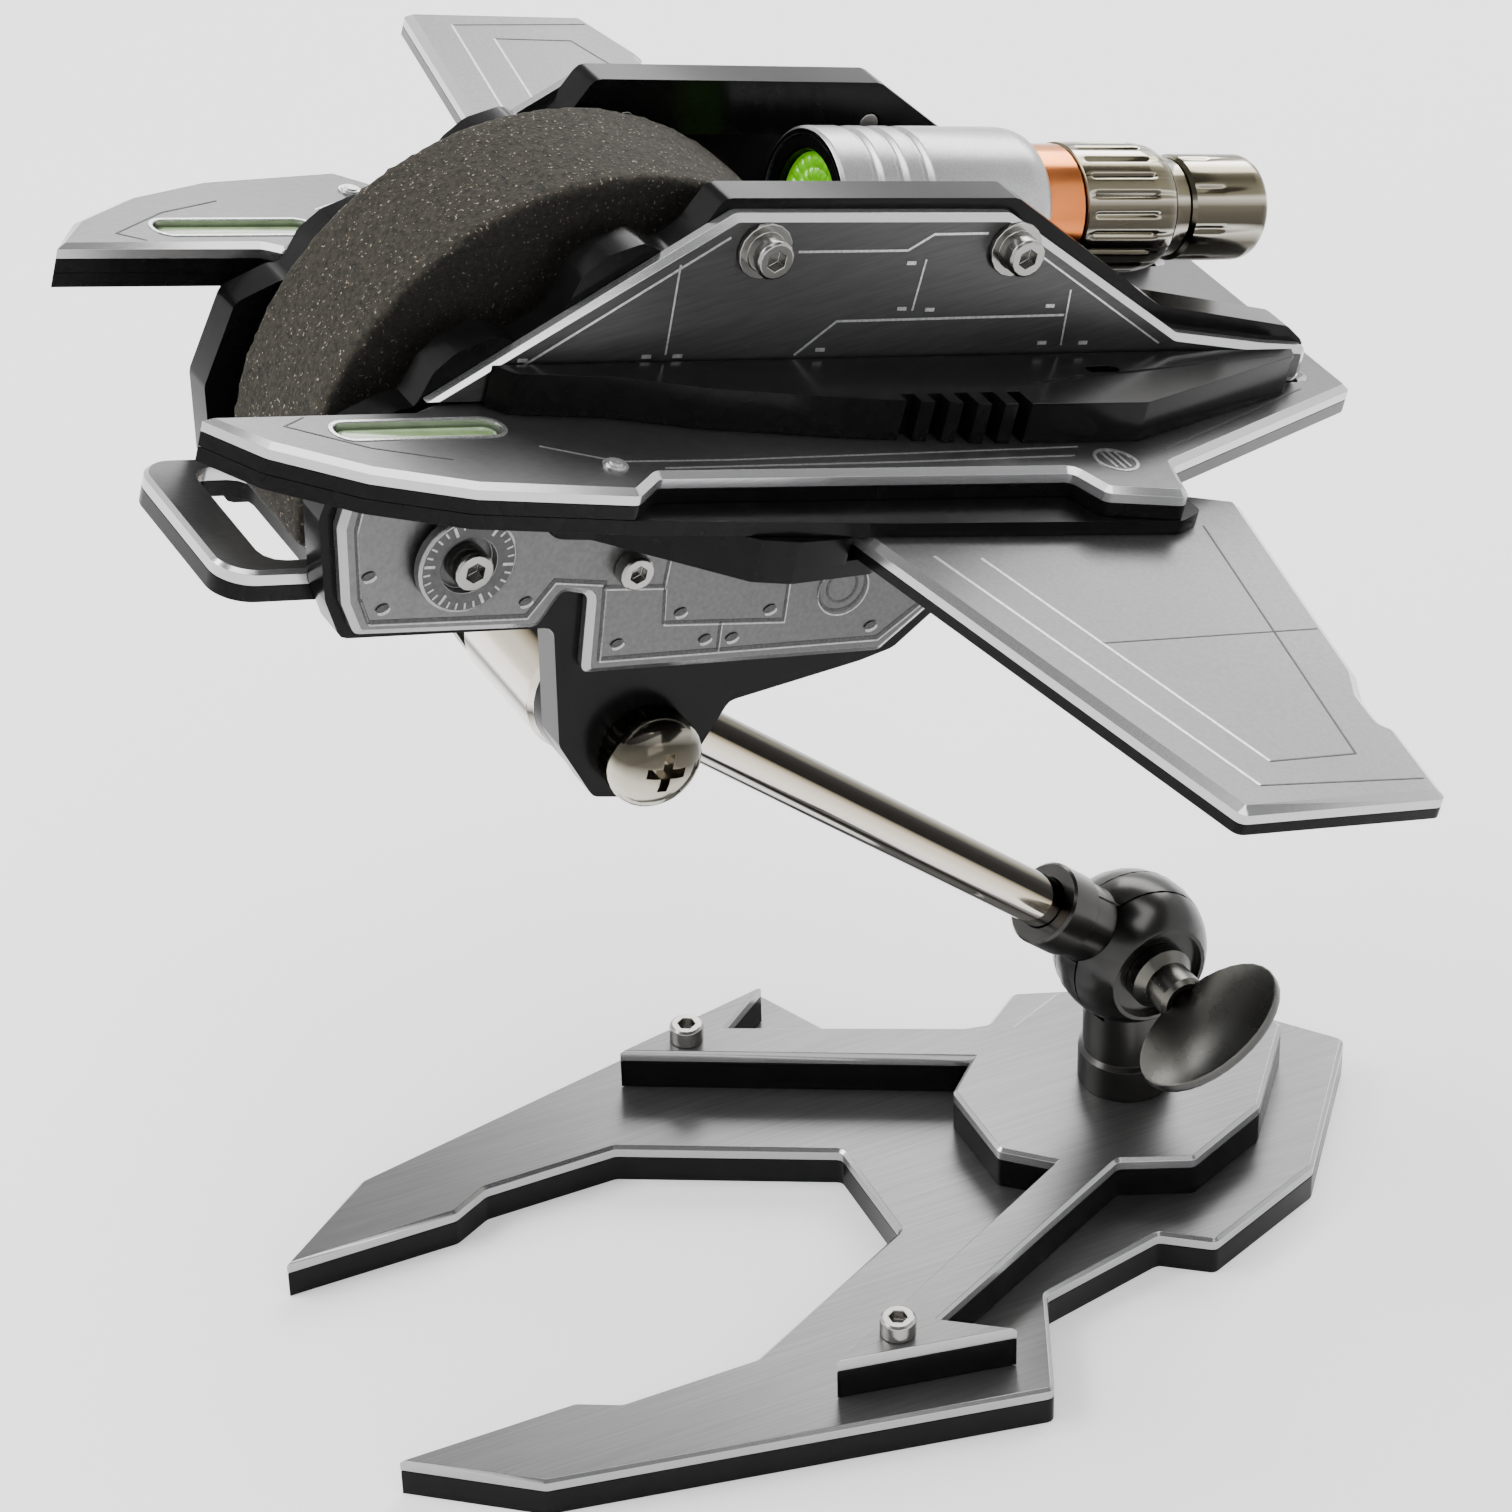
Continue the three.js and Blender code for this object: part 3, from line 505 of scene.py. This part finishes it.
def add_prism(mesh, outline, low, high):
    """A closed prism on a flat outline, standing from low to high."""
    bottom = [mesh.verts.new((x, y, low)) for x, y in outline]
    top = [mesh.verts.new((x, y, high)) for x, y in outline]
    mesh.faces.new(top)
    mesh.faces.new(bottom[::-1])
    for i, vertex in enumerate(bottom):
        j = (i + 1) % len(bottom)
        mesh.faces.new((vertex, bottom[j], top[j], top[i]))


def add_line(mesh, points, width, high=LINE_HEIGHT):
    """A strip along the points, mitred at its corners."""
    points = [Vector(p) for p in points]
    left, right_side = [], []
    for i, point in enumerate(points):
        before = (point - points[i - 1]).normalized() if i else (points[1] - point).normalized()
        after = (points[i + 1] - point).normalized() if i + 1 < len(points) else before
        across = Vector((-(before + after).y, (before + after).x)).normalized()
        reach = width / 2 / max(0.4, across.dot(Vector((-before.y, before.x))))
        left.append(point + across * reach)
        right_side.append(point - across * reach)
    for i in range(len(points) - 1):
        add_prism(mesh, [right_side[i], right_side[i + 1], left[i + 1], left[i]], -LINE_SINK, high)


def ellipse(centre, across, along, turn=0.0, count=16):
    angles = [2 * math.pi * i / count for i in range(count)]
    return [(centre[0] + across * math.cos(a) * math.cos(turn) - along * math.sin(a) * math.sin(turn),
             centre[1] + across * math.cos(a) * math.sin(turn) + along * math.sin(a) * math.cos(turn))
            for a in angles]


def add_ring(mesh, centre, radius, width, high=LINE_HEIGHT, count=32):
    outer = ellipse(centre, radius, radius, 0, count)
    inner = ellipse(centre, radius - width, radius - width, 0, count)
    for i in range(count):
        j = (i + 1) % count
        add_prism(mesh, [outer[i], outer[j], inner[j], inner[i]], -LINE_SINK, high)


def engraving(name, plane, draw, material):
    """Draws lines in a plane and makes them one piece that rides with the hull."""
    mesh = bmesh.new()
    draw(mesh)
    bmesh.ops.remove_doubles(mesh, verts=mesh.verts, dist=0.0005)
    mesh.transform(plane)
    bmesh.ops.recalc_face_normals(mesh, faces=mesh.faces)
    data = bpy.data.meshes.new(name)
    mesh.to_mesh(data)
    mesh.free()
    piece = bpy.data.objects.new(name, data)
    bpy.context.scene.collection.objects.link(piece)
    finish_piece(piece, "hull", material)


# %% Engraved finishes
def engraved(name, dark, light, roughness, metallic):
    recipe = Recipe(name, light, roughness, metallic)
    grit = recipe.noise(2500, 2)
    recipe.join(recipe.ramp(grit, dark, light), recipe.shader.inputs["Base Color"])
    recipe.bump(grit, 0.3, 0.00003)
    return recipe.material


engraved_dark = engraved("engraved_dark", (0.015,) * 3, (0.04,) * 3, 0.5, 0.2)
engraved_bright = engraved("engraved_bright", (0.4,) * 3, (0.62,) * 3, 0.28, 0.9)
# Painted highlight on the hull lines' lower lips; the same metal also draws the dial's real marks.
lip_highlight_and_dial_mark = engraved("lip_highlight_and_dial_mark", (0.25,) * 3, (0.36,) * 3, 0.3, 0.9)

# %% [markdown]
# ### Panels on the sides
# A side sheet is drawn in the hull's Y and Z, then stood up at the panel's face. The left face looks
# towards +X and the right one towards -X, so the same drawing serves both through a mirrored plane.

# %% Draw the side panels
PANEL_FACE = 23.3
DECK_FACE = 53.8
WING_FACE = 47.6
DIAL_RISE = 2.7
DIAL_CENTRE = (-35.7, 32.2)
RING_CENTRE = (24.1, 24.8)


def side_plane(sign):
    stand = Matrix(((0, 0, sign, sign * PANEL_FACE), (1, 0, 0, 0), (0, 1, 0, 0), (0, 0, 0, 1)))
    return HULL @ stand


def draw_upright(mesh):
    thin, fine = 0.32, 0.25
    add_line(mesh, [(-12.9, 73.1), (-12.1, 60.4)], fine)
    add_line(mesh, [(48.4, 68.9), (49.2, 60.7)], fine)
    add_line(mesh, [(4.2, 74.8), (20.9, 74.9), (24.4, 77.2), (32.8, 77.3)], thin)
    add_line(mesh, [(7.3, 60), (12.6, 64.8), (48.4, 65.2)], thin)
    add_line(mesh, [(23.9, 66.2), (24.1, 73.6)], fine)
    add_line(mesh, [(-35.6, 57.2), (-6.4, 76.9)], thin)
    add_line(mesh, [(38.2, 76.2), (65.4, 60.7)], fine)
    for y, z in [(-32.8, 60.0), (-14.9, 60.2), (-10.3, 60.2), (11.1, 60.7), (22.2, 66.5), (26.6, 66.3),
                 (21.9, 73.1), (45.7, 66.6), (46.0, 61.1), (52.7, 61.0)]:
        add_line(mesh, [(y - 0.7, z), (y + 0.7, z)], 0.5, 0.1)


HULL_BORDER = [(-50.9, 46), (-51.4, 36.5), (-48.9, 26.5), (-47, 23), (-24.0, 22.8), (-20.9, 27.9),
               (-13.2, 27.2), (-11.5, 15.6), (31.8, 16.6), (37, 21.4), (57, 41)]
HULL_JOINTS = [[(-13.4, 26.6), (-3.9, 26.3), (-2.9, 20.7), (15.9, 20.2), (15.2, 27.5), (10.5, 31)],
               [(6.1, 20.4), (6.6, 16)], [(-4.1, 26.3), (-4.4, 36)]]
RIVETS = [(-48.3, 29.8), (-45.4, 25.0), (-24.6, 25), (-9.3, 17.9), (4.2, 17.9), (8.4, 17.9), (-0.6, 22.2),
          (13.3, 22.0), (30.2, 18.6)]
# Painted highlight: the shift that sets bright strips just below the hull lines, where their lower lips
# would catch the light.
HIGHLIGHT_SHIFT = (0.3, -0.5)


def draw_hull_lines(mesh):
    add_line(mesh, HULL_BORDER, 0.55)
    for joint in HULL_JOINTS:
        add_line(mesh, joint, 0.45)
    add_ring(mesh, RING_CENTRE, 3.9, 0.5)
    add_ring(mesh, RING_CENTRE, 2.5, 0.4)
    for centre in RIVETS:
        add_prism(mesh, ellipse(centre, 0.95, 0.55, 0.4), -LINE_SINK, 0.22)


def draw_hull_highlights(mesh):
    """Painted highlights: bright strips shifted below the same lines and rivets, for their lit lower lips
    and the rivets' lit undersides.
    """
    def shifted(points):
        return [(y + HIGHLIGHT_SHIFT[0], z + HIGHLIGHT_SHIFT[1]) for y, z in points]
    for line in [HULL_BORDER] + HULL_JOINTS:
        add_line(mesh, shifted(line), 0.22)
    for centre in shifted(RIVETS):
        add_prism(mesh, ellipse(centre, 0.95, 0.5, 0.4), -LINE_SINK, 0.12)
    add_ring(mesh, (RING_CENTRE[0] + HIGHLIGHT_SHIFT[0], RING_CENTRE[1] + HIGHLIGHT_SHIFT[1]), 4.0, 0.2)


def draw_dial_marks(mesh):
    count = 30
    for i in range(count):
        angle = 2 * math.pi * i / count
        radial = Vector((math.cos(angle), math.sin(angle)))
        centre = Vector(DIAL_CENTRE)
        inner = 5.5 if i % 5 else 4.9
        add_line(mesh, [centre + radial * inner, centre + radial * 6.4], 0.25 if i % 5 else 0.4)


dial_face = Matrix.Translation((0, 0, DIAL_RISE))
for side, sign in (("left", 1), ("right", -1)):
    engraving(f"upright_lines_{side}", side_plane(sign), draw_upright, engraved_bright)
    engraving(f"hull_lines_{side}", side_plane(sign), draw_hull_lines, engraved_dark)
    engraving(f"hull_highlights_{side}", side_plane(sign), draw_hull_highlights, lip_highlight_and_dial_mark)
    engraving(f"dial_marks_{side}", side_plane(sign) @ dial_face, draw_dial_marks, lip_highlight_and_dial_mark)

# %% [markdown]
# ### Deck and wings
# These sheets lie flat in the hull's X and Y. The wings carry bright lines near the leading edge and finer
# dark ones behind. The deck has two long bright joints, two dark lines, a rivet and a barred disc on each
# side.

# %% Draw the deck and the wings
SLOT = {"x": 29.2, "y": -48.9, "half": 11.2, "radius": 1.75, "low": 52.0, "high": 53.3}
DECK_RIVET = (40.4, -26.7)
DISC_X, DISC_Y = 43.4, 47.6


def stadium(radius, half, count=10):
    arc = [math.pi * i / count for i in range(count + 1)]
    return ([(radius * math.cos(a), half - radius + radius * math.sin(a)) for a in arc]
            + [(-radius * math.cos(a), radius - half - radius * math.sin(a)) for a in arc])


def flat_plane(sign, height):
    return HULL @ Matrix(((sign, 0, 0, 0), (0, 1, 0, 0), (0, 0, 1, height), (0, 0, 0, 1)))


def draw_deck(mesh):
    add_line(mesh, [(25.3, -63), (27.5, -66.5), (33.8, -57.5), (37.4, -48)], 0.25)
    add_line(mesh, [(40.9, 57.2), (24.6, 91)], 0.3)


def draw_deck_bright(mesh):
    edge = [(SLOT["x"] + x, SLOT["y"] + y) for x, y in stadium(SLOT["radius"] + 0.75, SLOT["half"] + 0.75)]
    add_line(mesh, edge + edge[:1], 0.5, 0.12)
    add_line(mesh, [(34.6, -34.6), (39.3, -25.7), (39.8, -10), (39.6, 15.9), (39.3, 44)], 0.25)
    add_line(mesh, [(41.4, -20), (41.9, 15.9), (41.7, 42)], 0.3)
    for radius, high in ((1.7, 0.25), (1.35, 0.5), (0.9, 0.7)):
        add_prism(mesh, ellipse(DECK_RIVET, radius, radius, 0, 24), -LINE_SINK, high)
    add_ring(mesh, (DISC_X, DISC_Y), 3.2, 0.45, 0.12)
    for offset, half in ((-1.1, 2.0), (0, 2.5), (1.1, 2.0)):
        add_line(mesh, [(DISC_X - half, DISC_Y + offset), (DISC_X + half, DISC_Y + offset)], 0.4, 0.12)


def draw_wing_bright(mesh):
    add_line(mesh, [(55.8, 13.4), (114.2, 25.4)], 0.45)
    add_line(mesh, [(56.9, 19.9), (109.1, 30.3)], 0.45)


def draw_wing_dark(mesh):
    add_line(mesh, [(109.1, 30.3), (108.8, 43.6), (51, 58.8)], 0.28)
    add_line(mesh, [(79.4, 24.4), (78.9, 58.4)], 0.2)
    add_line(mesh, [(114.2, 25.4), (115.4, 49.4)], 0.25)


for side, sign in (("left", 1), ("right", -1)):
    deck = flat_plane(sign, DECK_FACE)
    wing = flat_plane(sign, WING_FACE)
    engraving(f"deck_lines_{side}", deck, draw_deck, engraved_dark)
    engraving(f"deck_marks_{side}", deck, draw_deck_bright, engraved_bright)
    engraving(f"wing_stripes_{side}", wing, draw_wing_bright, engraved_bright)
    engraving(f"wing_lines_{side}", wing, draw_wing_dark, engraved_dark)

# %% [markdown]
# ## Green slot inserts
# Green strips sit in the slots of the deck. A strip is a rounded bar with a soft top, in a glossy green
# with a faint painted glow: a weak emission, though the strip is no lamp. The lens uses the same recipe.

# %% Green finishes
def green_plastic(name, color, painted_glow):
    recipe = Recipe(name, color, 0.25)
    streak = recipe.noise(300, 2)
    recipe.join(recipe.ramp(streak, [c * 0.7 for c in color], color), recipe.shader.inputs["Base Color"])
    # Painted glow: emission brightens the green, though the part is no lamp.
    recipe.shader.inputs["Emission Color"].default_value = (*color, 1)
    recipe.shader.inputs["Emission Strength"].default_value = painted_glow
    recipe.shader.inputs["Coat Weight"].default_value = 0.5
    return recipe.material


insert_green = green_plastic("insert_green", (0.16, 0.25, 0.10), 0.15)
lens_green = green_plastic("lens_green", (0.16, 0.6, 0.0), 0.3)

# %% Slot inserts
def make_insert(side, sign):
    rings = [(1.0, SLOT["low"]), (1.0, SLOT["high"] - 0.5), (0.85, SLOT["high"] - 0.15), (0.5, SLOT["high"])]
    vertices, faces = [], []
    for scale, height in rings:
        shrink = SLOT["radius"] * (1 - scale)
        vertices += [(sign * (SLOT["x"] + x), SLOT["y"] + y, height)
                     for x, y in stadium(SLOT["radius"] - shrink, SLOT["half"] - shrink)]
    count = len(vertices) // len(rings)
    for ring in range(len(rings) - 1):
        for i in range(count):
            j = (i + 1) % count
            a, b = ring * count, (ring + 1) * count
            faces.append((a + i, a + j, b + j, b + i))
    faces.append(tuple(range(count))[::-1])
    faces.append(tuple(range(count * (len(rings) - 1), count * len(rings))))
    if sign < 0:
        faces = [face[::-1] for face in faces]
    piece = new_piece(f"green_insert_{side}", [HULL @ Vector(v) for v in vertices], faces, smooth=True)
    finish_piece(piece, "hull", insert_green)
    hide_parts(f"slot_insert_{side}")


make_insert("left", 1)
make_insert("right", -1)

# %% [markdown]
# ## Turned parts
# The lens and the two connector pieces are bodies of revolution whose section changes round the axis.
# One helper sweeps a profile of heights and radii round the barrel's axis, and a flute function pushes
# the surface in at regular angles. Fine steps make the flutes round instead of faceted.

# %% Sweep round the barrel's axis
BARREL_HEIGHT = 70.1


def swept(name, profile, flute=None, count=192):
    """profile: (y, radius, flute share) rings from one end to the other; both ends close on the axis."""
    vertices, faces = [], []
    for y, radius, share in profile:
        for i in range(count):
            angle = 2 * math.pi * i / count
            r = radius - (share * flute(angle) if flute else 0)
            vertices.append((r * math.cos(angle), y, BARREL_HEIGHT + r * math.sin(angle)))
    for ring in range(len(profile) - 1):
        a, b = ring * count, (ring + 1) * count
        faces += [(a + i, b + i, b + (i + 1) % count, a + (i + 1) % count) for i in range(count)]
    first, last = len(vertices), len(vertices) + 1
    vertices += [(0, profile[0][0], BARREL_HEIGHT), (0, profile[-1][0], BARREL_HEIGHT)]
    end = (len(profile) - 1) * count
    faces += [(first, i, (i + 1) % count) for i in range(count)]
    faces += [(last, end + (i + 1) % count, end + i) for i in range(count)]
    piece = new_piece(name, [HULL @ Vector(v) for v in vertices], faces, smooth=True)
    piece.data.set_sharp_from_angle(angle=math.radians(38))
    return piece


def eased(y_from, y_to, r_from, r_to, share_from, share_to, steps=5):
    """Rings along a quarter ellipse, for a rounded shoulder."""
    rings = []
    for i in range(steps + 1):
        t = math.pi / 2 * i / steps
        mix = 1 - math.cos(t)
        rings.append((y_from + (y_to - y_from) * math.sin(t), r_from + (r_to - r_from) * mix,
                      share_from + (share_to - share_from) * mix))
    return rings


def flutes(number, sharpness):
    return lambda angle: max(0.0, math.cos(number * angle)) ** sharpness


# %% Connector
body_rings = [(59.3, 8.5, 0), (59.6, 9.0, 0), (60.6, 9.0, 0), (61.2, 9.0, 0.55), (70.8, 9.0, 0.55),
              (71.6, 9.0, 0.15)]
body_rings += eased(71.8, 75.6, 8.95, 7.2, 0.1, 0.0, 6) + [(76.4, 6.9, 0), (78.1, 6.9, 0)]
connector = swept("connector_shell", body_rings, flutes(20, 4))
finish_piece(connector, "hull", shell_chrome)
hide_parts("connector_body")

end_rings = [(78.5, 6.9, 0), (79.0, 7.4, 0.05), (80.0, 7.45, 0.35), (83.5, 7.45, 0.3), (84.4, 7.45, 0.0),
             (89.6, 7.45, 0)]
end_rings += eased(89.8, 91.6, 7.45, 6.4, 0, 0, 5) + [(91.7, 5.4, 0), (91.3, 5.1, 0), (90.2, 5.0, 0)]
connector_end = swept("connector_tip", end_rings, flutes(8, 8))
finish_piece(connector_end, "hull", shell_chrome)
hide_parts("connector_end")

# %% Lens
def make_lens():
    front, rear = 20.4, 22.5
    spokes = flutes(24, 2)
    rings = []
    for i in range(28):
        radius = 0.3 + 7.2 * i / 27
        wave = 0.3 * abs(math.sin(radius * math.pi / 1.8))
        rings.append((front + 0.6 - wave - 0.35 * (radius / 7.5) ** 2, radius, 0))
    rings += [(front + 0.8, 7.55, 0), (rear, 7.55, 0)]
    lens = swept("lens_ribbed", rings)
    for vertex in lens.data.vertices:
        local = HULL.inverted() @ vertex.co
        radius = math.hypot(local.x, local.z - BARREL_HEIGHT)
        if 2.0 < radius < 7.2 and local.y < rear - 0.6:
            local.y += 0.35 * spokes(math.atan2(local.z - BARREL_HEIGHT, local.x))
            vertex.co = HULL @ local
    return lens


lens = make_lens()
finish_piece(lens, "hull", lens_green)
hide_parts("barrel_lens")

# %% [markdown]
# ## Foam disc
# The disc is cut from open-cell foam, so it has crisp but soft edges and a skin full of pores. It is swept
# as a ring with a rounded section, flattened where it stands on the nose plate, and its surface is pushed
# in and out by two sizes of noise. The pores finer than the mesh come from the material's bump. The
# material also paints bright glints, and painted shade on the two side faces.

# %% Foam finish
def foam_finish():
    recipe = Recipe("open_cell_foam", (0.03, 0.025, 0.018), 0.95)
    mottle = recipe.noise(1300, 3)
    base = recipe.ramp(mottle, (0.007, 0.006, 0.004), (0.032, 0.027, 0.018), 0.3, 0.72)
    strands = recipe.noise(2100, 2)
    # Painted glints: sparse bright specks where the strand noise is high, standing for light caught on the
    # foam's strands.
    painted_glint = recipe.node("ShaderNodeMath", operation="GREATER_THAN")
    painted_glint.inputs[1].default_value = 0.675
    recipe.join(strands, painted_glint.inputs[0])
    color = recipe.node("ShaderNodeMix", data_type="RGBA")
    recipe.join(painted_glint.outputs["Value"], color.inputs[0])
    recipe.join(base, color.inputs[6])
    color.inputs[7].default_value = (0.22, 0.19, 0.15, 1)

    # Painted shade: the two side faces, found by facing across the hull, are darkened to about 0.3 of their
    # colour.
    facing = recipe.node("ShaderNodeVectorMath", operation="DOT_PRODUCT")
    recipe.join(recipe.place.outputs["Normal"], facing.inputs[0])
    facing.inputs[1].default_value = HULL_ACROSS
    side_facing = recipe.node("ShaderNodeMath", operation="ABSOLUTE")
    recipe.join(facing.outputs["Value"], side_facing.inputs[0])
    painted_side_shade = recipe.node("ShaderNodeMix", data_type="RGBA", blend_type="MULTIPLY")
    painted_side_shade.inputs[0].default_value = 1.0
    recipe.join(color.outputs[2], painted_side_shade.inputs[6])
    recipe.join(recipe.ramp(side_facing.outputs["Value"], (1, 1, 1), (0.3,) * 3, 0.5, 0.95), painted_side_shade.inputs[7])
    recipe.join(painted_side_shade.outputs[2], recipe.shader.inputs["Base Color"])
    recipe.join(recipe.spread(recipe.noise(1900, 1), 0.6, 1.0), recipe.shader.inputs["Roughness"])
    recipe.bump(strands, 0.5, 0.0004)
    recipe.shader.inputs["Specular IOR Level"].default_value = 0.25
    return recipe.material


# %% Foam disc mesh
FOAM = {"y": -12.4, "z": 38.4, "radius": 41.3, "half": 11.3, "hole": 2.5, "floor": 27.7, "round": 1.2}
ROOM_RADIUS = 11.9
ROOM_FRONT = 18.0


def foam_section():
    """Half widths and radii round the ring's section, from the axle hole out over the rim and back."""
    half, outer, hole, ease = FOAM["half"], FOAM["radius"], FOAM["hole"], FOAM["round"]
    side = [(half, hole + (outer - ease - hole) * i / 30) for i in range(31)]
    corner = [(half - ease + ease * math.cos(a), outer - ease + ease * math.sin(a))
              for a in [math.pi / 2 * i / 4 for i in range(1, 5)]]
    rim = [(half - ease - 2 * (half - ease) * i / 26, outer) for i in range(1, 26)]
    other = [(-x, r) for x, r in reversed(side + corner)]
    return side + corner + rim + other


def make_foam():
    section = foam_section()
    turns = 300
    vertices = []
    for i in range(turns):
        angle = 2 * math.pi * i / turns
        for x, r in section:
            y = FOAM["y"] + r * math.cos(angle)
            z = FOAM["z"] + r * math.sin(angle)
            spot = Vector((x, y, z))
            grain = 0.16 * noise.noise(spot * 1.1) + 0.12 * noise.noise(spot * 2.7)
            x += grain * (1 if x > 0 else -1) * (abs(x) > 10)
            if r > 40:
                y += grain * math.cos(angle)
                z += grain * math.sin(angle)
            z = max(z, FOAM["floor"] + 0.1 * grain)
            if z > BARREL_HEIGHT - ROOM_RADIUS and abs(x) < ROOM_RADIUS:
                y = min(y, ROOM_FRONT)
            vertices.append(HULL @ Vector((x, y, z)))
    count = len(section)
    faces = []
    for i in range(turns):
        a, b = i * count, (i + 1) % turns * count
        faces += [(a + k, a + (k + 1) % count, b + (k + 1) % count, b + k) for k in range(count)]
    return new_piece("foam_ring", vertices, faces, smooth=True)


foam = make_foam()
finish_piece(foam, "hull", foam_finish())
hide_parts("foam_disc")
print("foam faces:", len(foam.data.polygons))
